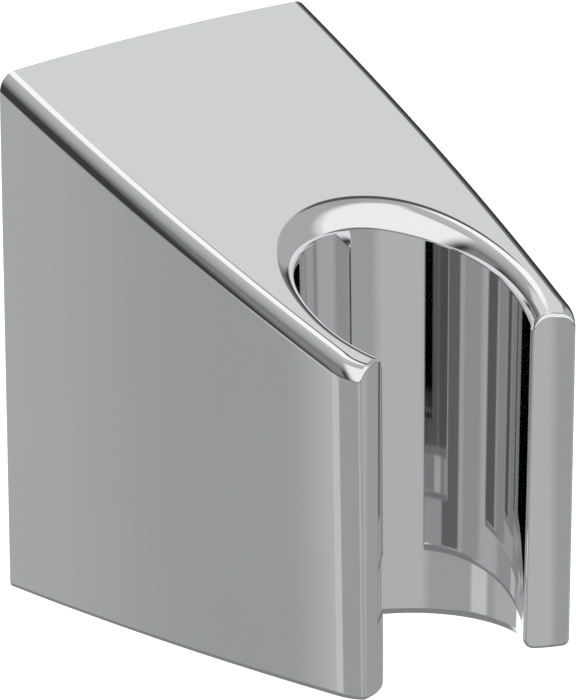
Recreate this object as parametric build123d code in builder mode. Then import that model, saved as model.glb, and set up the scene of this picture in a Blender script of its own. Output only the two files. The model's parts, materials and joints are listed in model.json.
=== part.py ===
from build123d import *
import os
from math import cos, degrees, radians, sin, sqrt, tan

# Hand shower holder for the wall, in millimetres.
# The wall is the plane y = 0 and the holder stands out from it towards -Y. +Z is up.
# The origin lies on the wall, midway between the two wall screw holes.

# Outer form of the shell
wall_width = 39.4            # width against the wall, at the top edge
wall_height = 53.8           # height against the wall, at the top edge of the sides
bottom_level = -27.0         # underside of the shell
side_draft_angle = 1.15      # degrees by which each side leans in, going down
side_toe_in = 1.0            # degrees by which the sides close in at the wall
side_bow_radius = 312.0      # bow of the sides, seen from above
top_slope = 22.0             # degrees by which the top falls towards the front
top_crown = 0.45             # rise of the top's middle above its edges
corner_reach = 5.9           # from the cradle's axis to where the front corners begin
corner_radius = 5.0          # front corners, seen from above
corner_end_angle = 62.0      # direction of the corner's last normal, from sideways

# Cradle
cradle_distance = 40.3       # axis of the cradle's bore, from the wall
cradle_bottom_radius = 10.85
cradle_taper_angle = 1.12    # degrees by which the bore widens on each side, going up
mouth_reach = 3.15           # from the cradle's axis to where the prongs' end faces would meet
mouth_angle = 22.0           # degrees by which the end faces turn towards the slot

# Roundings of the shell
top_edge_radius = 1.9
lip_radius = 2.3             # top edge of the cradle
rounding_share = 0.935       # most of a prong's width that its two top roundings may take
bottom_chamfer = 0.6
cradle_bottom_chamfer = 0.9  # bottom edge of the cradle
prong_edge_chamfer = 0.4     # outline of the prongs' end faces

# Hollow of the shell, open towards the wall
shell_wall = 2.6
cradle_wall = 2.8            # round the cradle's bore
hollow_depth = 33.0          # beside the cradle, from the wall
hollow_corner_radius = 2.0
hook_rib_thickness = 2.2
hook_rib_gap = 0.4           # from the bracket plate to the shell's rib
hook_rib_height = 2.94       # below the ceiling, at the rib's front
hook_rib_bite = 0.8          # how far the rib runs into the shell's walls

# Wall bracket
plate_thickness = 3.0
plate_clearance = 0.3        # to the shell, at the sides and the top
plate_lift = 2.2             # free height under the plate, for hanging the shell on the hooks
plate_corner_radius = 2.5
rim_width = 1.6
rim_height = 1.2
rim_gap = 1.2                # from the rim's upper ends to the shell's rib
screw_spacing = 22.0         # between the two wall screw holes, up and down
screw_hole_radius = 2.25
screw_head_radius = 4.3
hook_width = 5.0
hook_offset = 9.5            # from the middle to the middle of each hook
hook_arm_thickness = 2.2
hook_root_thickness = 4.2
hook_finger_thickness = 2.0
hook_finger_height = 1.6     # above the arm, in front of the shell's rib
hook_clearance = 0.2         # from the shell's rib to the finger
hook_tip_chamfer = 0.6
tongue_width = 13.0
tongue_thickness = 3.0
tongue_reach = 14.0          # front end of the tongue, from the wall
tongue_corner_radius = 1.5
gusset_thickness = 1.5
gusset_size = 4.0

# Locking screw with its insert, on an upright axis behind the cradle
lock_distance = 9.0          # from the wall
lock_screw_radius = 2.0
lock_screw_length = 7.6
lock_tip_height = 1.0
lock_tip_radius = 0.8
lock_dimple_depth = 0.3      # in the underside of the tongue
lock_end_chamfer = 0.3
lock_recess = 1.1            # from the underside of the shell up to the screw
lock_socket_width = 2.0      # across the flats of the hexagon
lock_socket_depth = 2.6
lock_hole_radius = 2.4       # in the shell's floor
insert_radius = 2.9
insert_length = 4.6
insert_clearance = 0.03      # around the screw
insert_groove_width = 1.0
insert_groove_depth = 0.4
insert_chamfer = 0.3
boss_wall = 1.7
boss_height = 3.4            # above the shell's floor

# Worked out from the sizes above
top_level = bottom_level + wall_height
slope = radians(top_slope)
crown_radius = (wall_width / 2) ** 2 / (2 * top_crown) + top_crown / 2
crown_level = top_level + top_crown
floor_level = bottom_level + shell_wall
hook_rib_back = plate_thickness + hook_rib_gap
hook_rib_front = hook_rib_back + hook_rib_thickness
boss_level = floor_level + boss_height
insert_level = boss_level - insert_length
lock_level = bottom_level + lock_recess
lock_tip_level = lock_level + lock_screw_length
tongue_level = lock_tip_level - lock_dimple_depth
mouth_distance = cradle_distance + mouth_reach
corner_start = cradle_distance + corner_reach
cut_margin = 1.0             # by which a cutting shape runs past what it cuts
far = 100.0


def half_width(level, distance, inset=0.0):
    """Half the width between the sides, at a level and at a distance from the wall."""
    lean = tan(radians(side_draft_angle)) * (top_level - level)
    toe = tan(radians(side_toe_in)) * distance
    bow = distance**2 / (2 * side_bow_radius)
    return wall_width / 2 - lean - toe - bow - inset


def ceiling_level(distance):
    """Level of the hollow's ceiling, at a distance from the wall."""
    return top_level - shell_wall / cos(slope) - distance * tan(slope)


def bore_radius(level):
    """Radius of the cradle's bore at a level."""
    return cradle_bottom_radius + tan(radians(cradle_taper_angle)) * (level - bottom_level)


def prong_width():
    """Width of a prong's end face at its top, from the slot to the outside."""
    level = top_level - mouth_distance * tan(slope)
    turn = tan(radians(mouth_angle))
    root = sqrt(bore_radius(level) ** 2 * (1 + turn**2) - mouth_reach**2)
    slot_half = (root - turn * mouth_reach) / (1 + turn**2)
    outer_half = half_width(level, corner_start) - corner_radius / 3
    return (outer_half - slot_half) / cos(radians(mouth_angle))


# The lip and the top edge keep within the prongs' width
rounding_fit = min(1, rounding_share * prong_width() / (top_edge_radius + lip_radius))
hook_rib_level = ceiling_level(hook_rib_front) - hook_rib_height
rim_top_level = hook_rib_level - rim_gap


# Shell: the block, its hollow with the cradle's wall, the top, the mouth and the bore, the roundings
with BuildPart() as holder_body:
    for level in (bottom_level, crown_level + cut_margin):
        with BuildSketch(Plane.XY.offset(level)):
            with BuildLine():
                wall_corner = (half_width(level, 0), 0)
                toe_in = radians(side_toe_in)
                bow_turn = degrees(corner_start / side_bow_radius)
                side = JernArc(
                    start=wall_corner,
                    tangent=(-sin(toe_in), -cos(toe_in)),
                    radius=side_bow_radius,
                    arc_size=-bow_turn,
                )
                corner = JernArc(
                    start=side @ 1,
                    tangent=side % 1,
                    radius=corner_radius,
                    arc_size=-(corner_end_angle - side_toe_in - bow_turn),
                )
                JernArc(
                    start=corner @ 1,
                    tangent=corner % 1,
                    radius=(corner @ 1).X / cos(radians(corner_end_angle)),
                    arc_size=-(90 - corner_end_angle),
                )
                mirror(about=Plane.YZ)
                Line((-half_width(level, 0), 0), wall_corner)
            make_face()
    loft(ruled=True)

    # The hollow, which narrows with the shell, and the cradle's wall inside it
    for distance in (0, hollow_depth):
        with BuildSketch(Plane.XZ.offset(distance)) as hollow_end:
            with BuildLine():
                high = ceiling_level(distance)
                Polyline(
                    (-half_width(floor_level, distance, shell_wall), floor_level),
                    (half_width(floor_level, distance, shell_wall), floor_level),
                    (half_width(high, distance, shell_wall), high),
                    (-half_width(high, distance, shell_wall), high),
                    close=True,
                )
            make_face()
            fillet(hollow_end.vertices(), radius=hollow_corner_radius)
    loft(ruled=True, mode=Mode.SUBTRACT)

    with BuildSketch(Plane.XZ.offset(cradle_distance)):
        with BuildLine():
            high = top_level
            Polyline(
                (0, bottom_level),
                (bore_radius(bottom_level) + cradle_wall, bottom_level),
                (bore_radius(high) + cradle_wall, high),
                (0, high),
                close=True,
            )
        make_face()
    revolve(axis=Axis((0, -cradle_distance, 0), (0, 0, 1)))

    # The top: a crowned surface that falls towards the front
    top_start = (0, cut_margin, crown_level + cut_margin * tan(slope))
    with BuildSketch(Plane(origin=top_start, x_dir=(1, 0, 0), z_dir=(0, -cos(slope), -sin(slope)))):
        with BuildLine():
            reach = wall_width
            drop = crown_radius - sqrt(crown_radius**2 - reach**2)
            crown = ThreePointArc((-reach, -drop), (0, 0), (reach, -drop))
            Polyline(crown @ 1, (reach, far), (-reach, far), crown @ 0)
        make_face()
    extrude(amount=far, mode=Mode.SUBTRACT)

    # The prongs' end faces, which guide the hose into the slot
    mouth_rise = far * tan(radians(mouth_angle))
    with BuildSketch(Plane.XY.offset(bottom_level - cut_margin)):
        with BuildLine():
            Polyline(
                (0, -mouth_distance),
                (far, -mouth_distance - mouth_rise),
                (-far, -mouth_distance - mouth_rise),
                close=True,
            )
        make_face()
    extrude(amount=far, mode=Mode.SUBTRACT)

    # The cradle: an upright bore, wider at the top
    with BuildSketch(Plane.XZ.offset(cradle_distance)):
        with BuildLine():
            low = bottom_level - cut_margin
            high = top_level + cut_margin
            Polyline((0, low), (bore_radius(low), low), (bore_radius(high), high), (0, high), close=True)
        make_face()
    revolve(axis=Axis((0, -cradle_distance, 0), (0, 0, 1)), mode=Mode.SUBTRACT)

    # Roundings of the top's outer edges and of the cradle's lip, and chamfers underneath
    upward_faces = holder_body.faces().filter_by(lambda face: face.normal_at().Z > 0.8)
    top_face = upward_faces.sort_by(SortBy.AREA)[-1]
    top_edges = top_face.edges().sort_by(Axis.X)
    fillet(top_edges[:2] + top_edges[-2:], radius=top_edge_radius * rounding_fit)
    bore = holder_body.faces().filter_by(GeomType.CONE).sort_by(SortBy.AREA)[-1]
    fillet(bore.edges().sort_by(Axis.Z)[-1], radius=lip_radius * rounding_fit)
    low_edges = holder_body.faces().sort_by(Axis.Z)[0].edges().sort_by(Axis.X)
    chamfer(low_edges[:2] + low_edges[-2:], length=bottom_chamfer)
    bore = holder_body.faces().filter_by(GeomType.CONE).sort_by(SortBy.AREA)[-1]
    chamfer(bore.edges().sort_by(Axis.Z)[0], length=cradle_bottom_chamfer)

    # The outline of each end face
    end_faces = (
        holder_body.faces()
        .filter_by(GeomType.PLANE)
        .filter_by(lambda face: abs(face.normal_at().Z) < 0.1 and face.normal_at().Y < -0.8)
    )
    chamfer([edge for face in end_faces for edge in face.edges()], length=prong_edge_chamfer)

    # The rib that hangs on the bracket's hooks
    with BuildSketch(Plane.XZ.offset(hook_rib_back)):
        with BuildLine():
            rib_half = half_width(hook_rib_level, hook_rib_front, shell_wall - hook_rib_bite)
            rib_top = ceiling_level(hook_rib_front) + hook_rib_bite
            Polyline(
                (-rib_half, hook_rib_level),
                (rib_half, hook_rib_level),
                (rib_half, rib_top),
                (-rib_half, rib_top),
                close=True,
            )
        make_face()
    extrude(amount=hook_rib_thickness)

    # The boss in the floor, with the pocket for the insert and the hole for the key
    with BuildSketch(Plane.XY.offset(floor_level - 0.5)):
        with Locations((0, -lock_distance)):
            Circle(insert_radius + boss_wall)
    extrude(amount=boss_height + 0.5)
    with BuildSketch(Plane.XY.offset(insert_level)):
        with Locations((0, -lock_distance)):
            Circle(insert_radius)
    extrude(amount=insert_length, mode=Mode.SUBTRACT)
    with BuildSketch(Plane.XY.offset(bottom_level)):
        with Locations((0, -lock_distance)):
            Circle(lock_hole_radius)
    extrude(amount=insert_level - bottom_level, mode=Mode.SUBTRACT)

holder_body.part.label = "holder_body"

# Wall bracket: a plate that follows the hollow, with its rim, hooks and tongue
plate_bottom = floor_level + plate_lift
plate_top = ceiling_level(plate_thickness) - plate_clearance
plate_inset = shell_wall + plate_clearance
with BuildPart() as wall_bracket:
    with BuildSketch(Plane.XZ) as plate_outline:
        with BuildLine():
            Polyline(
                (-half_width(plate_bottom, 0, plate_inset), plate_bottom),
                (half_width(plate_bottom, 0, plate_inset), plate_bottom),
                (half_width(plate_top, 0, plate_inset), plate_top),
                (-half_width(plate_top, 0, plate_inset), plate_top),
                close=True,
            )
        make_face()
        fillet(plate_outline.vertices(), radius=plate_corner_radius)
    extrude(amount=plate_thickness)

    # The rim runs along the sides and the bottom, on the side away from the wall
    with BuildSketch(Plane.XZ.offset(plate_thickness)) as rim:
        with BuildLine():
            rim_inset = plate_inset + rim_width
            Polyline(
                (-half_width(rim_top_level, 0, plate_inset), rim_top_level),
                (-half_width(plate_bottom, 0, plate_inset), plate_bottom),
                (half_width(plate_bottom, 0, plate_inset), plate_bottom),
                (half_width(rim_top_level, 0, plate_inset), rim_top_level),
                (half_width(rim_top_level, 0, rim_inset), rim_top_level),
                (half_width(plate_bottom, 0, rim_inset), plate_bottom + rim_width),
                (-half_width(plate_bottom, 0, rim_inset), plate_bottom + rim_width),
                (-half_width(rim_top_level, 0, rim_inset), rim_top_level),
                close=True,
            )
        make_face()
        low_corners = rim.vertices().sort_by(Axis.Y)
        fillet(low_corners[:2], radius=plate_corner_radius)
        low_corners = rim.vertices().filter_by_position(
            Axis.Y, plate_bottom + rim_width - 0.01, plate_bottom + rim_width + 0.01
        )
        fillet(low_corners, radius=plate_corner_radius - rim_width)
    extrude(amount=rim_height)

    # The hooks that carry the shell's rib
    finger_back = hook_rib_front + hook_clearance
    finger_front = finger_back + hook_finger_thickness
    for offset in (-hook_offset, hook_offset):
        with BuildSketch(Plane.YZ.offset(offset)):
            with BuildLine():
                Polyline(
                    (-plate_thickness, hook_rib_level - hook_root_thickness),
                    (-finger_front, hook_rib_level - hook_arm_thickness),
                    (-finger_front, hook_rib_level + hook_finger_height - hook_tip_chamfer),
                    (-finger_front + hook_tip_chamfer, hook_rib_level + hook_finger_height),
                    (-finger_back, hook_rib_level + hook_finger_height),
                    (-finger_back, hook_rib_level),
                    (-plate_thickness, hook_rib_level),
                    close=True,
                )
            make_face()
        extrude(amount=hook_width / 2, both=True)

    # The tongue under which the locking screw presses, and its gussets
    with BuildSketch(Plane.XY.offset(tongue_level)) as tongue:
        with Locations((0, -(plate_thickness + tongue_reach) / 2)):
            Rectangle(tongue_width, tongue_reach - plate_thickness)
        fillet(tongue.vertices().sort_by(Axis.Y)[:2], radius=tongue_corner_radius)
    extrude(amount=tongue_thickness)
    tongue_top = tongue_level + tongue_thickness
    for side_sign in (-1, 1):
        gusset_middle = side_sign * (tongue_width - gusset_thickness) / 2
        with BuildSketch(Plane.YZ.offset(gusset_middle)):
            with BuildLine():
                Polyline(
                    (-plate_thickness, tongue_top),
                    (-plate_thickness - gusset_size, tongue_top),
                    (-plate_thickness, tongue_top + gusset_size),
                    close=True,
                )
            make_face()
        extrude(amount=gusset_thickness / 2, both=True)

    # The countersunk holes for the wall screws
    with Locations(Plane.XZ.offset(plate_thickness)):
        with Locations((0, screw_spacing / 2), (0, -screw_spacing / 2)):
            CounterSinkHole(
                radius=screw_hole_radius,
                counter_sink_radius=screw_head_radius,
                depth=plate_thickness,
                counter_sink_angle=90,
            )

    # The dimple in which the screw's tip sits
    dimple_depth = lock_tip_level - tongue_level
    dimple_slope = (lock_screw_radius - lock_tip_radius) / lock_tip_height
    with Locations((0, -lock_distance, tongue_level + dimple_depth / 2)):
        Cone(
            bottom_radius=lock_tip_radius + dimple_slope * dimple_depth,
            top_radius=lock_tip_radius,
            height=dimple_depth,
            mode=Mode.SUBTRACT,
        )

wall_bracket.part.label = "wall_bracket"

# Threaded insert: pressed into the shell's boss, with its thread drawn as a plain bore
with BuildPart() as threaded_insert:
    with BuildSketch(Plane.XZ.offset(lock_distance)):
        with BuildLine():
            bore_radius = lock_screw_radius + insert_clearance
            groove_low = insert_level + (insert_length - insert_groove_width) / 2
            groove_high = groove_low + insert_groove_width
            groove_radius = insert_radius - insert_groove_depth
            Polyline(
                (bore_radius, insert_level + insert_chamfer),
                (bore_radius + insert_chamfer, insert_level),
                (insert_radius, insert_level),
                (insert_radius, groove_low),
                (groove_radius, groove_low),
                (groove_radius, groove_high),
                (insert_radius, groove_high),
                (insert_radius, boss_level),
                (bore_radius + insert_chamfer, boss_level),
                (bore_radius, boss_level - insert_chamfer),
                close=True,
            )
        make_face()
    revolve(axis=Axis((0, -lock_distance, 0), (0, 0, 1)))

threaded_insert.part.label = "threaded_insert"

# Locking screw: a set screw with a hexagon socket below and a cone tip above
with BuildPart() as locking_screw:
    with BuildSketch(Plane.XZ.offset(lock_distance)):
        with BuildLine():
            Polyline(
                (0, lock_level),
                (lock_screw_radius - lock_end_chamfer, lock_level),
                (lock_screw_radius, lock_level + lock_end_chamfer),
                (lock_screw_radius, lock_tip_level - lock_tip_height),
                (lock_tip_radius, lock_tip_level),
                (0, lock_tip_level),
                close=True,
            )
        make_face()
    revolve(axis=Axis((0, -lock_distance, 0), (0, 0, 1)))
    with BuildSketch(Plane.XY.offset(lock_level)):
        with Locations((0, -lock_distance)):
            RegularPolygon(radius=lock_socket_width / 2, side_count=6, major_radius=False)
    extrude(amount=lock_socket_depth, mode=Mode.SUBTRACT)

locking_screw.part.label = "locking_screw"

os.makedirs("parts", exist_ok=True)
export_step(holder_body.part, "parts/holder_body.step")
export_step(wall_bracket.part, "parts/wall_bracket.step")
export_step(threaded_insert.part, "parts/threaded_insert.step")
export_step(locking_screw.part, "parts/locking_screw.step")
for piece in (holder_body, wall_bracket, threaded_insert, locking_screw):
    box = piece.part.bounding_box()
    print(piece.part.label, round(piece.part.volume, 1), piece.part.is_valid, box.min, box.max)
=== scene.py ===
import json
import math

import bmesh
import bpy
import numpy as np
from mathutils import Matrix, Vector

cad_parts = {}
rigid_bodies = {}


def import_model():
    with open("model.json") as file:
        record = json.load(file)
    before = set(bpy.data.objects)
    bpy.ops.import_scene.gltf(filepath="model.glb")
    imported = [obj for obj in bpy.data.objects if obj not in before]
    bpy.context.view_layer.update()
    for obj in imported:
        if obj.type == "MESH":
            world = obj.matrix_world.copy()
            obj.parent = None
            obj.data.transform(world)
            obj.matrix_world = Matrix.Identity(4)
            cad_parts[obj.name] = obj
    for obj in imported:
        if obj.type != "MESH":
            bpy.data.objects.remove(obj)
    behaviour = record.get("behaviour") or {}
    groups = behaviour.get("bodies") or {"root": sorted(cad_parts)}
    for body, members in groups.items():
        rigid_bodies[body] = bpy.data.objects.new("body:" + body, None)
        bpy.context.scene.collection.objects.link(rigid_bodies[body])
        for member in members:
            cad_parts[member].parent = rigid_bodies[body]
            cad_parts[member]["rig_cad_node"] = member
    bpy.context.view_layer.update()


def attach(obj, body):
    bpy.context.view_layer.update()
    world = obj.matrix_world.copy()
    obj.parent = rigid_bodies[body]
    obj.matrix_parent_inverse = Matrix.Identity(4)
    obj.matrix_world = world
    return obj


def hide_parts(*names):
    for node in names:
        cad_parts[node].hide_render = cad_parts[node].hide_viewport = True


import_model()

bl_info = {
    "name": "Hand Shower Holder",
    "version": (1, 0, 0),
    "blender": (4, 5, 0),
    "location": "View3D > Sidebar > Shower Holder",
    "description": "Builds the chrome shell, finishes the hidden fittings and sets up the studio",
    "category": "Add Mesh",
}

MM = 0.001


# Sizes and colours that a user would change

class HolderShellSettings(bpy.types.PropertyGroup):
    top_edge_radius: bpy.props.FloatProperty(
        name="Top Edge Radius", description="Rounding of the top's outer edges, in mm",
        default=1.9, min=0.5, max=2.0)
    lip_back_radius: bpy.props.FloatProperty(
        name="Lip Radius at the Back", description="Rounding of the cradle's upper edge at the back, in mm",
        default=3.3, min=0.8, max=3.6)
    lip_front_radius: bpy.props.FloatProperty(
        name="Lip Radius at the Prongs", description="Rounding of the cradle's upper edge at the prongs, in mm",
        default=1.85, min=0.8, max=2.3)
    bottom_edge_radius: bpy.props.FloatProperty(
        name="Bottom Edge Radius", description="Rounding of the underside's outer edge, in mm",
        default=0.7, min=0.1, max=1.5)
    cradle_foot_radius: bpy.props.FloatProperty(
        name="Cradle Foot Radius", description="Rounding of the cradle's lower edge, in mm",
        default=1.1, min=0.1, max=1.5)
    prong_edge_radius: bpy.props.FloatProperty(
        name="Prong Edge Radius", description="Rounding round the prongs' end faces, in mm",
        default=0.45, min=0.1, max=0.7)


class HolderFinishSettings(bpy.types.PropertyGroup):
    chrome_colour: bpy.props.FloatVectorProperty(
        name="Chrome Colour", description="Colour of the polished plating",
        subtype="COLOR", size=3, default=(0.83, 0.835, 0.84), min=0.0, max=1.0)
    plastic_colour: bpy.props.FloatVectorProperty(
        name="Bracket Colour", description="Colour of the moulded bracket",
        subtype="COLOR", size=3, default=(0.30, 0.305, 0.31), min=0.0, max=1.0)
    brass_colour: bpy.props.FloatVectorProperty(
        name="Brass Colour", description="Colour of the threaded insert",
        subtype="COLOR", size=3, default=(0.76, 0.58, 0.28), min=0.0, max=1.0)
    steel_colour: bpy.props.FloatVectorProperty(
        name="Steel Colour", description="Colour of the locking screw",
        subtype="COLOR", size=3, default=(0.46, 0.46, 0.47), min=0.0, max=1.0)


class HolderStudioSettings(bpy.types.PropertyGroup):
    azimuth: bpy.props.FloatProperty(
        name="Camera Azimuth", description="Direction from which the camera looks, in degrees", default=-38.9)
    elevation: bpy.props.FloatProperty(
        name="Camera Elevation", description="Height of the camera above the level, in degrees", default=19.0)
    distance: bpy.props.FloatProperty(
        name="Camera Distance", description="Distance from the camera to the foot of the wall face",
        default=2.0, unit="LENGTH")
    view_width: bpy.props.FloatProperty(
        name="View Width", description="Width of the picture at that distance", default=0.0576, unit="LENGTH")
    floor_drop: bpy.props.FloatProperty(
        name="Floor Drop", description="Free height under the holder, which hangs clear of the floor",
        default=0.10, unit="LENGTH")


# The shell's form, in millimetres, written as distances: below zero inside, above zero outside.
# The sides are two arcs, the top is a wide cylinder that slopes down, the bore is a cone.

WALL_HALF, TOE, BOW = 19.7, math.radians(1.0), 312.0
DRAFT = math.tan(math.radians(1.15))
FLOOR_Z, EDGE_Z, CREST_Z = -27.0, 26.8, 27.25
SLOPE = math.radians(22.0)
CROWN = WALL_HALF ** 2 / (2 * 0.45) + 0.225
BORE_Y, BORE_R, TAPER = -40.3, 10.85, math.tan(math.radians(1.12))
MOUTH, MOUTH_TURN, MOUTH_R, MOUTH_AT = 43.45, math.radians(22.0), 10.0, 11.35
CORNER_R, CORNER_AT = 5.0, 46.2
BOW_CENTRE = np.array([WALL_HALF - BOW * math.cos(TOE), -BOW * math.sin(TOE)])
BOW_END = TOE + CORNER_AT / BOW
CORNER_CENTRE = BOW_CENTRE + (BOW - CORNER_R) * np.array([math.cos(BOW_END), math.sin(BOW_END)])

# The hollow behind it
SHELL_WALL, CRADLE_WALL, HOLLOW_DEPTH, HOLLOW_CORNER = 2.6, 2.8, 33.0, 2.0
RIB_BACK, RIB_FRONT, RIB_HEIGHT, RIB_BITE = 3.4, 5.6, 2.94, 0.8
LOCK_Y, KEY_R, INSERT_R, BOSS_R = -9.0, 2.4, 2.9, 4.6
HOLLOW_FLOOR = FLOOR_Z + SHELL_WALL
BOSS_Z = HOLLOW_FLOOR + 3.4
POCKET_Z = BOSS_Z - 4.6

# Steps of the skin's grid along its profile. The bore's steps and the side's are equally many,
# so that a prong's end face can be a grid between them
FOOT_STEPS, BORE_STEPS, LIP_STEPS, TOP_STEPS = 8, 30, 16, 26
EDGE_STEPS, SIDE_STEPS, BASE_STEPS = 16, 30, 8
FACE_STEPS = FOOT_STEPS + BORE_STEPS + LIP_STEPS


def unit(v):
    """Each vector divided by its length."""
    return v / np.maximum(np.linalg.norm(v, axis=-1, keepdims=True), 1e-12)


def sides(p):
    """Distance from the bowed sides and front corners, and its direction.
    Seen from above, the outline is an arc of 312 mm and then one of 5 mm, shifted inwards by the draft."""
    sign = np.where(p[..., 0] < 0, -1.0, 1.0)
    x = np.abs(p[..., 0]) + DRAFT * (EDGE_Z - p[..., 2])
    d = -p[..., 1]
    turn = np.arctan2(d - BOW_CENTRE[1], x - BOW_CENTRE[0])
    on_corner = turn > BOW_END
    centre = np.where(on_corner[..., None], CORNER_CENTRE, BOW_CENTRE)
    radius = np.where(on_corner, CORNER_R, BOW)
    out = np.stack([x, d], -1) - centre
    reach = np.linalg.norm(out, axis=-1)
    out = out / reach[..., None]
    normal = np.stack([sign * out[..., 0], -out[..., 1], -DRAFT * out[..., 0]], -1)
    return (reach - radius) / np.linalg.norm(normal, axis=-1), unit(normal)


def crest(p):
    """Distance from the sloping crowned top, and its direction.
    The top is a cylinder of large radius whose axis runs down to the front."""
    rise = (p[..., 2] - CREST_Z) * math.cos(SLOPE) - p[..., 1] * math.sin(SLOPE)
    reach = np.hypot(p[..., 0], rise + CROWN)
    across, up = p[..., 0] / reach, (rise + CROWN) / reach
    normal = np.stack([across, -up * math.sin(SLOPE), up * math.cos(SLOPE)], -1)
    return reach - CROWN, normal


def underside(p):
    """Distance from the flat underside, and its direction."""
    normal = np.zeros(p.shape)
    normal[..., 2] = -1.0
    return FLOOR_Z - p[..., 2], normal


def bore(p):
    """Distance from the cradle's conical bore, and its direction: the radius grows with height."""
    away = np.stack([p[..., 0], p[..., 1] - BORE_Y], -1)
    reach = np.maximum(np.linalg.norm(away, axis=-1), 1e-9)
    radius = BORE_R + TAPER * (p[..., 2] - FLOOR_Z)
    normal = np.stack([-away[..., 0] / reach, -away[..., 1] / reach, np.full(reach.shape, TAPER)], -1)
    return (radius - reach) / math.hypot(1.0, TAPER), unit(normal)


def mouth(p):
    """Distance from the prongs' end faces, and its direction: a shallow upright cylinder on each side,
    which touches the end plane at one place and stays behind it elsewhere."""
    sign = np.where(p[..., 0] < 0, -1.0, 1.0)
    c, s = math.cos(MOUTH_TURN), math.sin(MOUTH_TURN)
    x = np.abs(p[..., 0]) - (MOUTH_AT + MOUTH_R * s)
    y = p[..., 1] + (MOUTH + MOUTH_AT * s / c) - MOUTH_R * c
    reach = np.maximum(np.hypot(x, y), 1e-9)
    return reach - MOUTH_R, np.stack([sign * x / reach, y / reach, np.zeros(sign.shape)], -1)


def lip_radius(p, sizes):
    """Rounding of the cradle's upper edge: full at the back, easing to the prongs' between 25 and 90 degrees
    round the bore."""
    turn = np.degrees(np.arctan2(np.abs(p[..., 0]), p[..., 1] - BORE_Y))
    t = np.clip((turn - 25.0) / 65.0, 0.0, 1.0)
    return sizes.lip_back_radius + (sizes.lip_front_radius - sizes.lip_back_radius) * t * t * (3.0 - 2.0 * t)


def rounded(a, b, radius):
    """Two distances joined by a rolling-ball rounding of the given radius.
    The ball's centre lies one radius inside both faces, and between them the distance is measured from it."""
    fa, na = a
    fb, nb = b
    c = np.sum(na * nb, -1)
    u, v = fa + radius, fb + radius
    k = 1.0 - c * c
    alpha, beta = (u - c * v) / k, (v - c * u) / k
    ball = (alpha > 0) & (beta > 0)
    out = alpha[..., None] * na + beta[..., None] * nb
    reach = np.linalg.norm(out, axis=-1)
    value = np.where(ball, reach - radius, np.maximum(fa, fb))
    normal = np.where((fa > fb)[..., None], na, nb)
    normal = np.where(ball[..., None], out / np.maximum(reach, 1e-9)[..., None], normal)
    return value, normal


def larger(*pairs):
    """The largest of several distances at each point, with its direction."""
    value, normal = pairs[0]
    for v, n in pairs[1:]:
        more = v > value
        value = np.where(more, v, value)
        normal = np.where(more[..., None], n, normal)
    return value, normal


def skin(p, sizes):
    """Distance from the shell without its mouth, with all its long roundings."""
    s, t, b, k = sides(p), crest(p), underside(p), bore(p)
    return larger(
        rounded(s, t, sizes.top_edge_radius),
        rounded(s, b, sizes.bottom_edge_radius),
        rounded(k, t, lip_radius(p, sizes)),
        rounded(k, b, sizes.cradle_foot_radius),
    )


def settle(p, sizes, steps=6, hold=None):
    """Moves points along the skin's direction until they lie on it; hold is a direction they don't move in."""
    for _ in range(steps):
        f, n = skin(p, sizes)
        if hold is not None:
            n = n - np.sum(n * hold, -1, keepdims=True) * hold
            n = n / np.maximum(np.sum(n * n, -1, keepdims=True), 1e-6)
        p = p - f[..., None] * n
    return p


def spaced(count):
    """Even steps from 0 to 1."""
    return np.linspace(0, 1, count + 1)


def between(a, b, share):
    """Points on the straight runs from a to b."""
    return a[:, None] + (b - a)[:, None] * share[None, :, None]


def arc_between(centre, radius, n0, n1, share):
    """Points of a rounding: its ball's centre plus the radius along a direction that turns from n0 to n1."""
    angle = np.arccos(np.clip(np.sum(n0 * n1, -1), -1, 1))[:, None, None]
    t = share[None, :, None]
    turned = (np.sin((1 - t) * angle) * n0[:, None] + np.sin(t * angle) * n1[:, None]) / np.sin(angle)
    return centre[:, None] + np.reshape(radius, (-1, 1, 1)) * turned


def bore_ball(psi, radius, face, start_z):
    """Centre of the ball that touches the bore and a second face, in the upright plane at the angle psi."""
    z = np.full(psi.shape, start_z)
    for _ in range(12):
        reach = BORE_R + TAPER * (z - FLOOR_Z) + radius * math.hypot(1.0, TAPER)
        p = np.stack([reach * np.sin(psi), BORE_Y + reach * np.cos(psi), z], -1)
        f, n = face(p)
        z = z - (f + radius) / n[..., 2]
    return p


def side_ball(angle, radius, face, start_z):
    """Centre of the ball that touches the side and a second face, at the side's turning angle."""
    z = np.full(angle.shape, start_z)
    for _ in range(12):
        reach = BOW - radius * np.sqrt(1 + (DRAFT * np.cos(angle)) ** 2)
        x = BOW_CENTRE[0] + reach * np.cos(angle) - DRAFT * (EDGE_Z - z)
        y = -(BOW_CENTRE[1] + reach * np.sin(angle))
        p = np.stack([x, y, z], -1)
        f, n = face(p)
        z = z - (f + radius) / n[..., 2]
    return p


def crest_level(x, y):
    """Level of the top at a place seen from above."""
    z = CREST_Z + y * math.tan(SLOPE)
    for _ in range(4):
        f, n = crest(np.stack([x, y, z], -1))
        z = z - f / n[..., 2]
    return z


def half_width(level, distance, inset):
    """Half the width between the sides at a level and a distance from the wall, less a wall."""
    return WALL_HALF - DRAFT * (EDGE_Z - level) - math.tan(TOE) * distance - distance ** 2 / (2 * BOW) - inset


def ceiling(distance):
    """Level of the hollow's ceiling at a distance from the wall."""
    return EDGE_Z - SHELL_WALL / math.cos(SLOPE) - distance * math.tan(SLOPE)


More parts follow.
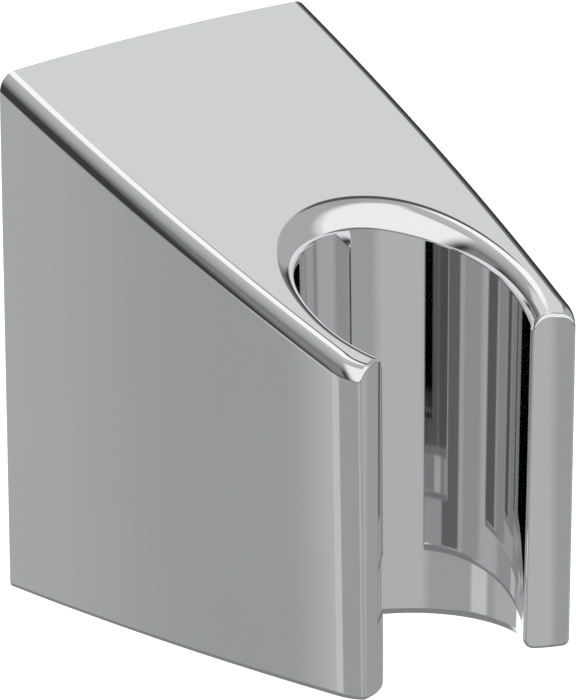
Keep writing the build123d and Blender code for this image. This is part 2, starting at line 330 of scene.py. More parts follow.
class Surface:
    """Collects grids of points and their directions, and writes them as one closed mesh."""

    def __init__(self):
        self.points, self.corners, self.faces, self.inside, self.count = [], [], [], [], 0

    def add(self, p, n, inside=False, closed=False, keep=None):
        """Adds a grid as four-sided faces that look along its directions; keep leaves some of them out."""
        rows, cols = p.shape[:2]
        ids = np.arange(rows * cols).reshape(rows, cols)
        if closed:
            ids = np.concatenate([ids, ids[:, :1]], 1)
        quads = np.stack([ids[:-1, :-1], ids[1:, :-1], ids[1:, 1:], ids[:-1, 1:]], -1)
        quads = quads[keep] if keep is not None else quads.reshape(-1, 4)
        flat_p, flat_n = p.reshape(-1, 3), n.reshape(-1, 3)
        a, b, c, d = (flat_p[quads[:, i]] for i in range(4))
        facing = np.sum(np.cross(c - a, d - b) * flat_n[quads].mean(1), -1)
        quads = np.where((facing < 0)[:, None], quads[:, ::-1], quads)
        self.points.append(flat_p)
        self.corners.append(flat_n[quads].reshape(-1, 3))
        self.faces.append(quads + self.count)
        self.inside.append(np.full(len(quads), inside))
        self.count += len(flat_p)

    def mesh(self, name):
        """The grids as one mesh in metres, with each face corner's direction kept as an attribute."""
        points, faces = np.concatenate(self.points) * MM, np.concatenate(self.faces)
        mesh = bpy.data.meshes.new(name)
        mesh.from_pydata(points.tolist(), [], faces.tolist())
        direction = mesh.attributes.new("direction", "FLOAT_VECTOR", "CORNER")
        direction.data.foreach_set("vector", np.concatenate(self.corners).astype(np.float32).ravel())
        mesh.polygons.foreach_set("material_index", np.concatenate(self.inside).astype(np.int32))
        return mesh


def mirrored(p):
    """The same points or directions on the other side of the middle plane."""
    return p * np.array([-1.0, 1.0, 1.0])


def skin_grids(sizes):
    """The right half of the skin, on stations that turn about the bore from the back to the mouth.
    At each station a profile runs up the bore, over the lip, along the top, over the outer edge,
    down the side and round the bottom edge. Arcs are balls' centres plus a turning radius."""
    wall_n, side_n = 22, 72
    psi = np.concatenate([
        np.radians(np.linspace(0, 26, wall_n, endpoint=False)), np.radians(np.linspace(26, 110, side_n + 1))])
    angle = np.linspace(TOE, BOW_END, side_n + 1)
    station = np.stack([np.sin(psi), BORE_Y + np.cos(psi)], -1)
    lip, foot, edge, base = (lip_radius(station, sizes), sizes.cradle_foot_radius,
                             sizes.top_edge_radius, sizes.bottom_edge_radius)
    lip_c, foot_c = bore_ball(psi, lip, crest, 20.0), bore_ball(psi, foot, underside, -25.0)
    edge_c, base_c = side_ball(angle, edge, crest, 20.0), side_ball(angle, base, underside, -25.0)
    foot_arc = arc_between(foot_c, foot, underside(foot_c)[1], bore(foot_c)[1], spaced(FOOT_STEPS))
    lip_arc = arc_between(lip_c, lip, bore(lip_c)[1], crest(lip_c)[1], spaced(LIP_STEPS))
    edge_arc = arc_between(edge_c, edge, crest(edge_c)[1], sides(edge_c)[1], spaced(EDGE_STEPS))
    base_arc = arc_between(base_c, base, sides(base_c)[1], underside(base_c)[1], spaced(BASE_STEPS))

    # The side's first station lies in the wall plane
    hold = np.array([0.0, 1.0, 0.0])
    for arc in (edge_arc, base_arc):
        arc[0, :, 1] = 0.0
        arc[0] = settle(arc[0], sizes, 10, hold)

    reach = np.linspace(0, 1, wall_n, endpoint=False) * edge_arc[0, 0, 0]
    wall_top = np.stack([reach, 0 * reach, crest_level(reach, 0 * reach)], -1)
    top_end = np.concatenate([wall_top, edge_arc[:, 0]])
    top = between(lip_arc[:, -1], top_end, spaced(TOP_STEPS))
    top[..., 2] = crest_level(top[..., 0], top[..., 1])
    top[:, 0], top[:, -1] = lip_arc[:, -1], top_end
    wall = between(foot_arc[:, -1], lip_arc[:, 0], spaced(BORE_STEPS))
    inner = np.concatenate([foot_arc, wall[:, 1:], lip_arc[:, 1:], top[:, 1:]], 1)
    side = between(edge_arc[:, -1], base_arc[:, 0], spaced(SIDE_STEPS))
    outer = np.concatenate([edge_arc, side[:, 1:], base_arc[:, 1:]], 1)
    bottom = between(base_arc[-1:, -1], foot_arc[-1:, 0], spaced(TOP_STEPS))[0, 1:-1]
    return inner, outer, bottom


def prong_grids(start, sizes):
    """The rounded front corner, the end face's rounding and the end face, from the last station's closed loop.
    The rounding's centre line keeps one radius inside the skin and the end face, and the corner's
    points are straight runs from loop to loop, settled onto the skin. The end face is a grid between its
    four borders, settled onto the shallow cylinder."""
    radius = sizes.prong_edge_radius
    corner_tip, slot_tip = np.array([13.2, -48.0]), np.array([9.35, -46.6])
    top_count = FACE_STEPS + TOP_STEPS + 1

    # Along the bore and the lip's lower part the centre line starts at the slot, along the side at the corner
    low = FOOT_STEPS + BORE_STEPS + 11
    weight = np.concatenate([
        np.zeros(low), np.linspace(0, 1, top_count - low), np.ones(FACE_STEPS),
        np.linspace(1, 0, TOP_STEPS + 1)[1:-1]])
    place = slot_tip + (corner_tip - slot_tip) * weight[:, None]
    centre = np.concatenate([place, start[:, 2:3]], 1)
    centre[:, 2] += np.where(start[:, 2] > 2.0, (place[:, 1] - start[:, 1]) * math.tan(SLOPE), 0.0)
    for _ in range(40):
        f, n = skin(centre, sizes)
        face = mouth(centre)[1]
        flat = n - np.sum(n * face, -1, keepdims=True) * face
        centre = centre - 0.7 * (f + radius)[:, None] * flat / np.maximum(
            np.sum(flat * flat, -1, keepdims=True), 0.05)
        f, face = mouth(centre)
        centre = centre - (f + radius)[:, None] * face
    first, face = skin(centre, sizes)[1], mouth(centre)[1]
    ring = arc_between(centre, radius, first, face, spaced(6))
    runs = between(start, ring[:, 0], spaced(20))
    runs[:, 1:-1] = settle(runs[:, 1:-1], sizes, 8)

    # The border's four sides: up the bore, along the top, down the side and back along the bottom
    border = ring[:, -1]
    corner = FACE_STEPS + TOP_STEPS
    near, high = border[:FACE_STEPS + 1], border[FACE_STEPS:corner + 1]
    far = border[corner:corner + FACE_STEPS + 1][::-1]
    low_row = np.concatenate([border[:1], border[:corner + FACE_STEPS - 1:-1]])
    u, v = spaced(TOP_STEPS)[None, :, None], spaced(FACE_STEPS)[:, None, None]
    end = ((1 - v) * low_row[None] + v * high[None] + (1 - u) * near[:, None] + u * far[:, None]
           - (1 - v) * (1 - u) * low_row[0] - (1 - v) * u * low_row[-1] - v * (1 - u) * high[0] - v * u * high[-1])
    f, n = mouth(end)
    end[1:-1, 1:-1] = (end - f[..., None] * n)[1:-1, 1:-1]
    return runs, ring, centre, end


def hollow_ring(distance):
    """The hollow's section at a distance from the wall: a four-sided outline with corners of 2 mm.
    Returns the points and the directions into the hollow, from the middle of one corner to the next."""
    high, low = ceiling(distance), HOLLOW_FLOOR
    wide_low, wide_high = half_width(low, distance, SHELL_WALL), half_width(high, distance, SHELL_WALL)
    corners = np.array([[-wide_low, low], [wide_low, low], [wide_high, high], [-wide_high, high]])
    along = np.roll(corners, -1, 0) - corners
    inward = unit(np.stack([-along[:, 1], along[:, 0]], -1))
    points, directions = [], []
    for i, count in enumerate((24, 16, 24, 16)):
        arcs = []
        for j in (i, (i + 1) % 4):
            n0, n1 = inward[j - 1], inward[j]
            c = np.linalg.solve(np.array([n0, n1]), np.array([n0 @ corners[j], n1 @ corners[j]]) + HOLLOW_CORNER)
            t = spaced(8)[:, None]
            turned = unit((1 - t) * n0 + t * n1)
            arcs.append((c - HOLLOW_CORNER * turned, turned))
        (p0, d0), (p1, d1) = arcs
        run = between(p0[-1:], p1[:1], spaced(count))[0]
        points += [p0[4:], run[1:-1], p1[:4]]
        directions += [d0[4:], np.repeat(inward[i][None], count - 1, 0), d1[:4]]
    return np.concatenate(points), np.concatenate(directions)


def hollow_front(x, z):
    """How far the hollow goes at a place seen from the wall: to the cradle's wall, or to its full depth."""
    radius = BORE_R + TAPER * (z - FLOOR_Z) + CRADLE_WALL
    on_cradle = np.abs(x) < radius
    y = BORE_Y + np.sqrt(np.where(on_cradle, radius ** 2 - x ** 2, 0.0))
    return np.maximum(np.where(on_cradle, y, -HOLLOW_DEPTH), -HOLLOW_DEPTH)


def add_hollow(surface):
    """The hollow: straight runs from its opening to its front, and the front as a grid between them."""
    (p0, d0), (p1, d1) = hollow_ring(0.0), hollow_ring(HOLLOW_DEPTH)
    t = np.ones(len(p0))
    for _ in range(30):
        at = p0 + (p1 - p0) * t[:, None]
        t = np.clip(-hollow_front(at[:, 0], at[:, 1]) / HOLLOW_DEPTH, 0.0, 1.0)
    share = spaced(20)[:, None] * t
    at = p0 + (p1 - p0) * share[..., None]
    grid = np.stack([at[..., 0], -HOLLOW_DEPTH * share, at[..., 1]], -1)
    into = unit(d0 + (d1 - d0) * share[..., None])
    across = np.stack([into[..., 1], 0 * share, -into[..., 0]], -1)
    path = np.stack([p1[:, 0] - p0[:, 0], np.full(len(p0), -HOLLOW_DEPTH), p1[:, 1] - p0[:, 1]], -1)
    normal = unit(np.cross(np.broadcast_to(path, grid.shape), across))
    upright = np.stack([into[..., 0], 0 * share, into[..., 1]], -1)
    normal = normal * np.where(np.sum(normal * upright, -1, keepdims=True) < 0, -1.0, 1.0)
    keep = np.ones((20, len(p0)), bool)
    keep[:, 4:28] = False
    surface.add(grid, normal, inside=True, closed=True, keep=keep)

    # The front, with the ring's points as its border
    end = grid[-1]
    low, right, high = end[:33], end[32:57], end[56:89][::-1]
    left = np.concatenate([end[88:], end[:1]])[::-1]
    s, u = spaced(32)[None, :, None], spaced(24)[:, None, None]
    front = ((1 - u) * low[None] + u * high[None] + (1 - s) * left[:, None] + s * right[:, None]
             - (1 - u) * (1 - s) * low[0] - (1 - u) * s * low[-1] - u * (1 - s) * high[0] - u * s * high[-1])
    front[..., 1] = hollow_front(front[..., 0], front[..., 2])
    front[0], front[-1], front[:, 0], front[:, -1] = low, high, left, right
    on_cradle = front[..., 1] > -HOLLOW_DEPTH + 1e-6
    normal = np.where(on_cradle[..., None],
                      np.stack([front[..., 0], front[..., 1] - BORE_Y, 0 * front[..., 0]], -1),
                      np.array([0.0, 1.0, 0.0]))
    surface.add(front, unit(normal), inside=True)
    return grid[0, 4:29]


def add_turned(surface, profile, centre_y, count=64):
    """A profile of radius and level carried once round an upright axis, each straight run with its own directions."""
    turn = np.linspace(0, 2 * math.pi, count, endpoint=False)
    for (r0, z0), (r1, z1) in zip(profile, profile[1:]):
        r, z = np.array([r0, r1]), np.array([z0, z1])
        p = np.stack([r[:, None] * np.cos(turn), centre_y + r[:, None] * np.sin(turn), z[:, None] + 0 * turn], -1)
        size = math.hypot(r1 - r0, z1 - z0)
        out, up = (z1 - z0) / size, (r0 - r1) / size
        n = np.stack([out * np.cos(turn), out * np.sin(turn), np.full(count, up)], -1)
        surface.add(p, np.broadcast_to(n, p.shape), inside=True, closed=True)


def add_block(surface, low, high):
    """A closed block, as six flat grids."""
    for axis in range(3):
        a, b = [i for i in range(3) if i != axis]
        for value, sign in ((low[axis], -1.0), (high[axis], 1.0)):
            p, n = np.zeros((2, 2, 3)), np.zeros((2, 2, 3))
            p[..., axis] = value
            p[0, :, a], p[1, :, a] = low[a], high[a]
            p[:, 0, b], p[:, 1, b] = low[b], high[b]
            n[..., axis] = sign
            surface.add(p, n, inside=True)


def turn_towards(faces, towards, material_index):
    """Flat faces turned to one side, with their material."""
    for face in faces:
        face.normal_update()
        if face.normal.dot(towards) < 0:
            face.normal_flip()
        face.material_index = material_index


def build_shell(sizes):
    """Joins the halves, the prongs and the hollow, closes the flat sides and gives every corner its direction."""
    surface = Surface()
    inner, outer, bottom = skin_grids(sizes)
    whole = np.concatenate([mirrored(inner[:0:-1]), inner])
    surface.add(whole, skin(whole, sizes)[1])
    start = np.concatenate([inner[-1], outer[-1, 1:], bottom])
    runs, ring, centre, end = prong_grids(start, sizes)
    for side in (lambda p: p, mirrored):
        surface.add(side(outer), side(skin(outer, sizes)[1]))
        surface.add(side(runs).swapaxes(0, 1), side(skin(runs, sizes)[1]).swapaxes(0, 1), closed=True)
        surface.add(side(ring).swapaxes(0, 1), side(unit(ring - centre[:, None])).swapaxes(0, 1), closed=True)
        surface.add(side(end), side(mouth(end)[1]))
    opening = add_hollow(surface)
    add_turned(surface, [(BOSS_R, HOLLOW_FLOOR), (BOSS_R, BOSS_Z), (INSERT_R, BOSS_Z),
                         (INSERT_R, POCKET_Z), (KEY_R, POCKET_Z), (KEY_R, FLOOR_Z)], LOCK_Y)
    rib_low = ceiling(RIB_FRONT) - RIB_HEIGHT
    rib_half = half_width(rib_low, RIB_FRONT, SHELL_WALL - RIB_BITE)
    add_block(surface, (-rib_half, -RIB_FRONT, rib_low), (rib_half, -RIB_BACK, ceiling(RIB_FRONT) + RIB_BITE))

    mesh = surface.mesh("chrome_shell")
    bm = bmesh.new()
    bm.from_mesh(mesh)
    bmesh.ops.remove_doubles(bm, verts=bm.verts, dist=1.5e-6)

    def at(point):
        """The vertex at a place."""
        place = Vector(point) * MM
        return min(bm.verts, key=lambda v: (v.co - place).length_squared)

    for row in (opening, [outer[0, -1], mirrored(outer[0, -1])]):
        made = [at(p) for p in row]
        for a, b in zip(made, made[1:]):
            if bm.edges.get((a, b)) is None:
                bm.edges.new((a, b))

    def open_edges(test):
        """Edges with fewer than two faces whose ends both pass a test."""
        return [e for e in bm.edges if len(e.link_faces) < 2 and all(test(v.co / MM) for v in e.verts)]

    flats = [
        (lambda c: abs(c.z - HOLLOW_FLOOR) < 1e-3 and c.y > -33.1, Vector((0, 0, 1)), 1),
        (lambda c: abs(c.z - FLOOR_Z) < 1e-3, Vector((0, 0, -1)), 0),
        (lambda c: abs(c.y) < 1e-3, Vector((0, 1, 0)), 0),
    ]
    for test, towards, material_index in flats:
        made = bmesh.ops.triangle_fill(bm, use_beauty=True, edges=open_edges(test), normal=towards)["geom"]
        made = [g for g in made if isinstance(g, bmesh.types.BMFace)]
        if not made:
            raise RuntimeError("a flat side of the shell stayed open")
        turn_towards(made, towards, material_index)
    left_open = [e for e in bm.edges if len(e.link_faces) != 2]
    if left_open:
        where = [tuple(round(x / MM, 2) for x in e.verts[0].co) for e in left_open[:6]]
        raise RuntimeError(f"the shell has {len(left_open)} open edges, such as at {where}")
    bm.to_mesh(mesh)
    bm.free()

    # Curved parts keep their worked-out directions, and flat ones stay flat
    wanted = np.zeros(len(mesh.loops) * 3, np.float32)
    mesh.attributes["direction"].data.foreach_get("vector", wanted)
    wanted = wanted.reshape(-1, 3).astype(float)
    flat = np.zeros(len(mesh.polygons) * 3, np.float32)
    mesh.polygons.foreach_get("normal", flat)
    corners = np.zeros(len(mesh.polygons), np.int32)
    mesh.polygons.foreach_get("loop_total", corners)
    of_face = np.repeat(flat.reshape(-1, 3).astype(float), corners, axis=0)
    empty = np.linalg.norm(wanted, axis=1) < 0.5
    wanted = unit(np.where(empty[:, None], of_face, wanted))
    mesh.attributes.remove(mesh.attributes["direction"])
    mesh.polygons.foreach_set("use_smooth", np.ones(len(mesh.polygons), bool))
    mesh.normals_split_custom_set(wanted.tolist())
    mesh.update()
    print("shell: triangles", int((corners - 2).sum()))
    return mesh


# Materials

def mottle_group():
    """Slow and fine noise added and mapped to a range: an uneven value over a surface, and a height."""
    name = "surface_mottle"
    if name in bpy.data.node_groups:
        return bpy.data.node_groups[name]
    group = bpy.data.node_groups.new(name, "ShaderNodeTree")
    group.interface.new_socket("Vector", in_out="INPUT", socket_type="NodeSocketVector")
    for label, value in (("Scale", 400.0), ("Low", 0.0), ("High", 1.0)):
        group.interface.new_socket(label, in_out="INPUT", socket_type="NodeSocketFloat").default_value = value
    for label in ("Value", "Height"):
        group.interface.new_socket(label, in_out="OUTPUT", socket_type="NodeSocketFloat")
    nodes, links = group.nodes, group.links
    source, sink = nodes.new("NodeGroupInput"), nodes.new("NodeGroupOutput")
    slow, fine = nodes.new("ShaderNodeTexNoise"), nodes.new("ShaderNodeTexNoise")
    slow.inputs["Detail"].default_value = 2.0
    fine.inputs["Detail"].default_value = 4.0
    times, mix = nodes.new("ShaderNodeMath"), nodes.new("ShaderNodeMath")
    times.operation, mix.operation = "MULTIPLY", "MULTIPLY_ADD"
    times.inputs[1].default_value, mix.inputs[1].default_value = 7.3, 0.35
    spread = nodes.new("ShaderNodeMapRange")
    spread.inputs["From Min"].default_value = 0.35
    spread.inputs["From Max"].default_value = 1.0
    for noise in (slow, fine):
        links.new(source.outputs["Vector"], noise.inputs["Vector"])
    links.new(source.outputs["Scale"], slow.inputs["Scale"])
    links.new(source.outputs["Scale"], times.inputs[0])
    links.new(times.outputs[0], fine.inputs["Scale"])
    links.new(fine.outputs["Fac"], mix.inputs[0])
    links.new(slow.outputs["Fac"], mix.inputs[2])
    links.new(mix.outputs[0], spread.inputs["Value"])
    links.new(source.outputs["Low"], spread.inputs["To Min"])
    links.new(source.outputs["High"], spread.inputs["To Max"])
    links.new(spread.outputs["Result"], sink.inputs["Value"])
    links.new(mix.outputs[0], sink.inputs["Height"])
    return group


def new_material(name):
    """An empty material with its shader, output and object coordinates."""
    material = bpy.data.materials.new(name)
    material.use_nodes = True
    nodes = material.node_tree.nodes
    nodes.clear()
    shader, out = nodes.new("ShaderNodeBsdfPrincipled"), nodes.new("ShaderNodeOutputMaterial")
    material.node_tree.links.new(shader.outputs["BSDF"], out.inputs["Surface"])
    return material, nodes, material.node_tree.links, shader, nodes.new("ShaderNodeTexCoord")


def finish(name, colour, metallic, low, high, scale, bump=0.0, distance=0.00002, tint=0.02):
    """A material whose roughness, tint and height follow the shared mottle."""
    material, nodes, links, shader, place = new_material(name)
    shader.inputs["Metallic"].default_value = metallic
    mottle = nodes.new("ShaderNodeGroup")
    mottle.node_tree = mottle_group()
    mottle.inputs["Scale"].default_value = scale
    mottle.inputs["Low"].default_value = low
    mottle.inputs["High"].default_value = high
    links.new(place.outputs["Object"], mottle.inputs["Vector"])
    links.new(mottle.outputs["Value"], shader.inputs["Roughness"])
    mix = nodes.new("ShaderNodeMix")
    mix.data_type = "RGBA"
    mix.inputs["A"].default_value = (*[c * (1 - tint) for c in colour], 1)
    mix.inputs["B"].default_value = (*[min(1.0, c * (1 + tint)) for c in colour], 1)
    links.new(mottle.outputs["Height"], mix.inputs["Factor"])
    links.new(mix.outputs["Result"], shader.inputs["Base Color"])
    if bump:
        relief = nodes.new("ShaderNodeBump")
        relief.inputs["Strength"].default_value = bump
        relief.inputs["Distance"].default_value = distance
        links.new(mottle.outputs["Height"], relief.inputs["Height"])
        links.new(relief.outputs["Normal"], shader.inputs["Normal"])
    return material


def dress(name, material):
    """Gives a carried-over fitting its material."""
    for obj in bpy.context.scene.objects:
        if obj.type == "MESH" and obj.get("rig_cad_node") == name:
            if obj.data.materials:
                for slot in obj.material_slots:
                    slot.material = material
            else:
                obj.data.materials.append(material)
            return
    raise RuntimeError(f"the frame has no {name}")


class SHOWERHOLDER_OT_shell(bpy.types.Operator):
    """Build the chrome shell with its cradle and its hollow"""
    bl_idname = "showerholder.shell"
    bl_label = "Chrome Shell"
    bl_options = {"REGISTER", "UNDO"}

    def execute(self, context):
        look = context.scene.holder_finish
        mesh = build_shell(context.scene.holder_shell)
        piece = bpy.data.objects.new("chrome_shell", mesh)
        context.scene.collection.objects.link(piece)
        mesh.materials.append(finish("polished_chrome", look.chrome_colour, 1.0, 0.015, 0.05, 60.0, tint=0.012))
        mesh.materials.append(finish("plated_inside", [c * 0.8 for c in look.chrome_colour], 1.0, 0.22, 0.42, 500.0,
                                     bump=0.25, tint=0.06))
        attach(piece, "root")
        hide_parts("holder_body")
        return {"FINISHED"}


class SHOWERHOLDER_OT_bracket(bpy.types.Operator):
    """Finish the wall bracket as moulded plastic"""
    bl_idname = "showerholder.bracket"
    bl_label = "Wall Bracket"
    bl_options = {"REGISTER", "UNDO"}

    def execute(self, context):
        look = context.scene.holder_finish
        dress("wall_bracket", finish("moulded_plastic", look.plastic_colour, 0.0, 0.42, 0.62, 900.0,
                                     bump=0.5, distance=0.00004, tint=0.08))
        return {"FINISHED"}


class SHOWERHOLDER_OT_fixings(bpy.types.Operator):
    """Finish the brass insert and the steel locking screw"""
    bl_idname = "showerholder.fixings"
    bl_label = "Insert and Screw"
    bl_options = {"REGISTER", "UNDO"}

    def execute(self, context):
        look = context.scene.holder_finish
        brass = finish("turned_brass", look.brass_colour, 1.0, 0.2, 0.38, 700.0, bump=0.3, tint=0.08)
        dress("threaded_insert", brass)
        steel = finish("plain_steel", look.steel_colour, 1.0, 0.25, 0.4, 700.0, bump=0.3, tint=0.08)
        dress("locking_screw", steel)
        return {"FINISHED"}


# The studio

# Brightness of the plain walls below the level, and of the dim room above it by height in degrees
LOW_WALL = 0.37
HIGH_WALLS = [(-89, 0.35), (-12, 0.05), (20, 0.05), (50, 0.40), (89, 0.60)]
# Lights and dark flags: azimuth from and to, height from and to, soft edge across and upward, brightness
PANELS = [
    # Paler wall behind the holder, on both sides of the turn
    (-200.0, -140.0, -90.0, -14.0, 12.0, 6.0, 0.45),
    (150.0, 200.0, -90.0, -14.0, 12.0, 6.0, 0.45),
    # Low strip light on the left
    (-120.0, -105.0, -90.0, -14.0, 5.0, 6.0, 0.60),
    # Low lights in front and on the right
    (-45.0, -10.0, -90.0, -14.0, 15.0, 6.0, 0.50),
    (40.0, 65.0, -90.0, -14.0, 5.0, 6.0, 0.45),
    # Ceiling light behind, on both sides of the turn
    (105.0, 200.0, 43.0, 60.0, 5.0, 5.0, 0.75),
    (-200.0, -165.0, 43.0, 60.0, 12.0, 5.0, 0.75),
    # Dim fill on the left and on the right
    (-105.0, -85.0, 0.0, 25.0, 10.0, 10.0, 0.25),
    (60.0, 105.0, -5.0, 50.0, 5.0, 5.0, 0.45),
    # Large softbox in front
    (-55.0, 50.0, -5.0, 65.0, 20.0, 5.0, 1.00),
    # Dark flag low on the right, which shades the bore
    (50.0, 80.0, -15.0, -9.0, 5.0, 1.5, 0.15),
]
# Round light overhead and round flag beside it: azimuth, height, half size, soft edge, brightness
ROUND_PANELS = [(130.0, 70.0, 12.0, 6.0, 1.10), (107.0, 56.0, 6.0, 2.0, 0.10)]
# The paper sheet: how far it reaches in front, behind and to each side in mm, and where its painted grey shade under
# the holder turns into the painted pool of white light behind it, in metres
PAPER_FRONT, PAPER_BEHIND, PAPER_HALF = -110, 1100, 170
PAPER_SHADE_TO_POOL = (0.09, 0.19)
# Grey of the painted shade under the holder, white of the paper behind it, and the glow strength of the painted pool
# of light there
PAPER_PAINTED_SHADE, PAPER_WHITE, PAPER_PAINTED_POOL_GLOW = 0.42, 0.85, 0.75
# The picture in pixels, and where the foot of the wall face lies in it
PICTURE_WIDTH, PICTURE_HEIGHT = 576, 700
FOOT_X, FOOT_Y = 155.5, 549


def direction(azimuth, height):
    """A direction from its azimuth and its height above the level, both in degrees.
    Azimuth 0 points to the front, and positive angles turn to the right."""
    a, e = math.radians(azimuth), math.radians(height)
    return Vector((math.sin(a) * math.cos(e), -math.cos(a) * math.cos(e), math.sin(e)))


def studio_world():
    """The room round the holder as a function of direction: plain walls below the level, a dim room above it
    that brightens towards the ceiling, and soft lights and dark flags laid over both."""
    world = bpy.data.worlds.new("studio_room")
    bpy.context.scene.world = world
    world.use_nodes = True
    nodes, links = world.node_tree.nodes, world.node_tree.links
    nodes.clear()

    def math_node(operation, *values):
        """A Math node whose inputs are sockets or numbers."""
        node = nodes.new("ShaderNodeMath")
        node.operation = operation
        for socket, value in zip(node.inputs, values):
            if isinstance(value, bpy.types.NodeSocket):
                links.new(value, socket)
            else:
                socket.default_value = value
        return node.outputs[0]

    def step(value, start, end):
        """A smooth rise from 0 at the start to 1 at the end."""
        node = nodes.new("ShaderNodeMapRange")
        node.interpolation_type = "SMOOTHSTEP"
        node.inputs["From Min"].default_value, node.inputs["From Max"].default_value = start, end
        links.new(value, node.inputs["Value"])
        return node.outputs["Result"]

    def ramp(value, low, high, marks):
        """Brightness along a value, between its marks."""
        node = nodes.new("ShaderNodeValToRGB")
        stops = node.color_ramp
        stops.interpolation = "LINEAR"
        places = [((at - low) / (high - low), level) for at, level in marks]
        stops.elements[0].position, stops.elements[1].position = places[0][0], places[-1][0]
        for at, _ in places[1:-1]:
            stops.elements.new(at)
        for element, (_, level) in zip(stops.elements, places):
            element.color = (level, level, level, 1)
        links.new(math_node("DIVIDE", math_node("SUBTRACT", value, low), high - low), node.inputs["Fac"])
        return node.outputs["Color"]

    def over(base, mask, level):
        """A level laid over a base through a mask."""
        node = nodes.new("ShaderNodeMix")
        node.data_type = "RGBA"
        links.new(base, node.inputs["A"])
        node.inputs["B"].default_value = (level, level, level, 1)
        links.new(mask, node.inputs["Factor"])
        return node.outputs["Result"]

    place, split = nodes.new("ShaderNodeTexCoord"), nodes.new("ShaderNodeSeparateXYZ")
    links.new(place.outputs["Generated"], split.inputs[0])
    x, y, z = split.outputs
    azimuth = math_node("DEGREES", math_node("ARCTAN2", x, math_node("MULTIPLY", y, -1.0)))
    height = math_node("DEGREES", math_node("ARCSINE", z))

    colour = over(ramp(height, -90.0, 90.0, HIGH_WALLS), step(height, -8.0, -14.0), LOW_WALL)
    for start, end, bottom, top, wide, tall, level in PANELS:
        across = math_node("MULTIPLY", step(azimuth, start - wide, start), step(azimuth, end + wide, end))
        upward = math_node("MULTIPLY", step(height, bottom - tall, bottom), step(height, top + tall, top))
        colour = over(colour, math_node("MULTIPLY", across, upward), level)
    for at, rise, half, soft, level in ROUND_PANELS:
        dot = nodes.new("ShaderNodeVectorMath")
        dot.operation = "DOT_PRODUCT"
        dot.inputs[1].default_value = direction(at, rise)
        links.new(place.outputs["Generated"], dot.inputs[0])
        colour = over(colour, step(dot.outputs["Value"], math.cos(math.radians(half + soft)),
                                   math.cos(math.radians(half))), level)
    out, back = nodes.new("ShaderNodeOutputWorld"), nodes.new("ShaderNodeBackground")
    links.new(colour, back.inputs["Color"])
    links.new(back.outputs[0], out.inputs["Surface"])


def studio_floor(settings):
    """A pale paper sheet under and behind the holder, along the camera's direction: a flat rectangular grid.
    It is painted grey under the holder as painted shade and eases to white behind it, where it glows as a painted
    pool of light."""
    level = FLOOR_Z * MM - settings.floor_drop
    away = -direction(settings.azimuth, 0.0)
    across = Vector((-away.y, away.x, 0))
    along, side = np.meshgrid(np.linspace(PAPER_FRONT, PAPER_BEHIND, 29),
                              np.linspace(-PAPER_HALF, PAPER_HALF, 9), indexing="ij")
    p = along[..., None] * np.array(away) + side[..., None] * np.array(across) + np.array([0, 0, level / MM])
    surface = Surface()
    surface.add(p, np.broadcast_to(np.array([0.0, 0.0, 1.0]), p.shape))
    mesh = surface.mesh("studio_floor")
    mesh.attributes.remove(mesh.attributes["direction"])
    floor = bpy.data.objects.new("studio_floor", mesh)
    bpy.context.scene.collection.objects.link(floor)
    material, nodes, links, shader, place = new_material("floor_painted_shade_and_light_pool")
    reach = nodes.new("ShaderNodeVectorMath")
    reach.operation = "DOT_PRODUCT"
    reach.inputs[1].default_value = away
    links.new(place.outputs["Object"], reach.inputs[0])
    # Mask from the painted shade under the holder (0) to the painted pool of light behind it (1)
    white = nodes.new("ShaderNodeMapRange")
    white.interpolation_type = "SMOOTHSTEP"
    white.inputs["From Min"].default_value, white.inputs["From Max"].default_value = PAPER_SHADE_TO_POOL
    links.new(reach.outputs["Value"], white.inputs["Value"])
    # Base colour: a painted shade of grey under the holder that eases to the white paper behind it
    paper = nodes.new("ShaderNodeMix")
    paper.data_type = "RGBA"
    paper.inputs["A"].default_value = (PAPER_PAINTED_SHADE, PAPER_PAINTED_SHADE, PAPER_PAINTED_SHADE, 1)
    paper.inputs["B"].default_value = (PAPER_WHITE, PAPER_WHITE, PAPER_WHITE, 1)
    links.new(white.outputs["Result"], paper.inputs["Factor"])
    links.new(paper.outputs["Result"], shader.inputs["Base Color"])
    shader.inputs["Roughness"].default_value = 0.9
    shader.inputs["Specular IOR Level"].default_value = 0.1
    shader.inputs["Emission Color"].default_value = (1, 1, 1, 1)
    # The white part glows for camera, glossy and transmission rays: a painted pool of light behind the holder, faded
    # out where the painted shade lies
    ray = nodes.new("ShaderNodeLightPath")
    seen = nodes.new("ShaderNodeMath")
    seen.operation = "ADD"
    links.new(ray.outputs["Is Camera Ray"], seen.inputs[0])
    links.new(ray.outputs["Is Glossy Ray"], seen.inputs[1])
    both = nodes.new("ShaderNodeMath")
    both.operation = "ADD"
    links.new(seen.outputs[0], both.inputs[0])
    links.new(ray.outputs["Is Transmission Ray"], both.inputs[1])
    strength = nodes.new("ShaderNodeMath")
    strength.operation = "MULTIPLY"
    strength.inputs[1].default_value = PAPER_PAINTED_POOL_GLOW
    links.new(both.outputs[0], strength.inputs[0])
    faded = nodes.new("ShaderNodeMath")
    faded.operation = "MULTIPLY"
    links.new(strength.outputs[0], faded.inputs[0])
    links.new(white.outputs["Result"], faded.inputs[1])
    links.new(faded.outputs[0], shader.inputs["Emission Strength"])
    mesh.materials.append(material)


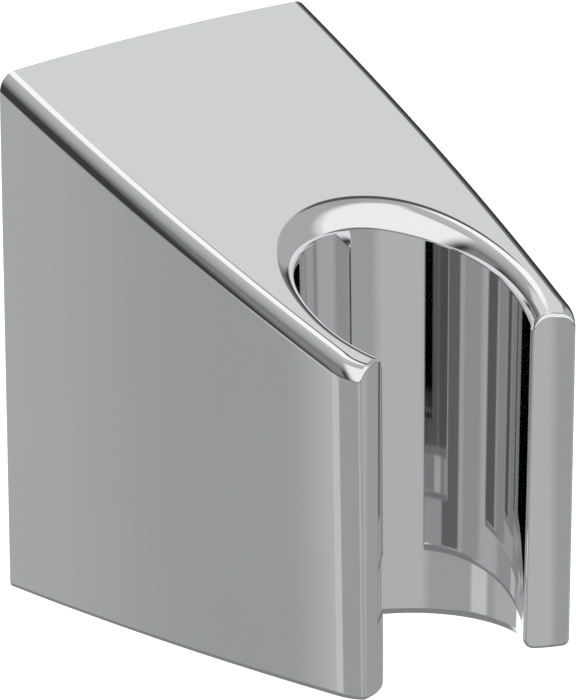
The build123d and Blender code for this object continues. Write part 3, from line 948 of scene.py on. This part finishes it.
class SHOWERHOLDER_OT_stage(bpy.types.Operator):
    """Set up the floor, the room and the camera"""
    bl_idname = "showerholder.stage"
    bl_label = "Studio"
    bl_options = {"REGISTER", "UNDO"}

    def execute(self, context):
        settings = context.scene.holder_studio
        studio_world()
        studio_floor(settings)
        aim = Vector((0, 0, FLOOR_Z * MM))
        back = direction(settings.azimuth, settings.elevation)
        camera = bpy.data.objects.new("camera", bpy.data.cameras.new("camera"))
        context.scene.collection.objects.link(camera)
        context.scene.camera = camera
        camera.data.sensor_fit = "HORIZONTAL"
        camera.data.sensor_width = 36.0
        camera.data.lens = 36.0 * settings.distance / settings.view_width
        camera.data.clip_start, camera.data.clip_end = 0.1, 20.0
        camera.location = aim + back * settings.distance
        right = Vector((-back.y, back.x, 0)).normalized()
        up = back.cross(right)
        pixel = settings.view_width / PICTURE_WIDTH
        target = (aim + right * (PICTURE_WIDTH / 2 - FOOT_X) * pixel
                  + up * (FOOT_Y - PICTURE_HEIGHT / 2) * pixel)
        camera.rotation_euler = (target - camera.location).to_track_quat("-Z", "Y").to_euler()
        context.scene.view_settings.view_transform = "Standard"
        return {"FINISHED"}


class SHOWERHOLDER_PT_panel(bpy.types.Panel):
    """Sizes, finishes and steps of the shower holder"""
    bl_label = "Shower Holder"
    bl_idname = "SHOWERHOLDER_PT_panel"
    bl_space_type = "VIEW_3D"
    bl_region_type = "UI"
    bl_category = "Shower Holder"

    def draw(self, context):
        for settings in (context.scene.holder_shell, context.scene.holder_finish, context.scene.holder_studio):
            box = self.layout.box()
            for name in settings.__annotations__:
                box.prop(settings, name)
        for operator in OPERATORS:
            self.layout.operator(operator.bl_idname)


OPERATORS = (SHOWERHOLDER_OT_shell, SHOWERHOLDER_OT_bracket, SHOWERHOLDER_OT_fixings, SHOWERHOLDER_OT_stage)
CLASSES = (HolderShellSettings, HolderFinishSettings, HolderStudioSettings, *OPERATORS, SHOWERHOLDER_PT_panel)


def register():
    for cls in CLASSES:
        bpy.utils.register_class(cls)
    bpy.types.Scene.holder_shell = bpy.props.PointerProperty(type=HolderShellSettings)
    bpy.types.Scene.holder_finish = bpy.props.PointerProperty(type=HolderFinishSettings)
    bpy.types.Scene.holder_studio = bpy.props.PointerProperty(type=HolderStudioSettings)


def unregister():
    del bpy.types.Scene.holder_shell, bpy.types.Scene.holder_finish, bpy.types.Scene.holder_studio
    for cls in reversed(CLASSES):
        bpy.utils.unregister_class(cls)


def main():
    """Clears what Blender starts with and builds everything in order."""
    for name in ("Cube", "Light", "Camera"):
        if name in bpy.data.objects:
            bpy.data.objects.remove(bpy.data.objects[name], do_unlink=True)
    register()
    bpy.ops.showerholder.shell()
    bpy.ops.showerholder.bracket()
    bpy.ops.showerholder.fixings()
    bpy.ops.showerholder.stage()


if __name__ == "__main__":
    main()
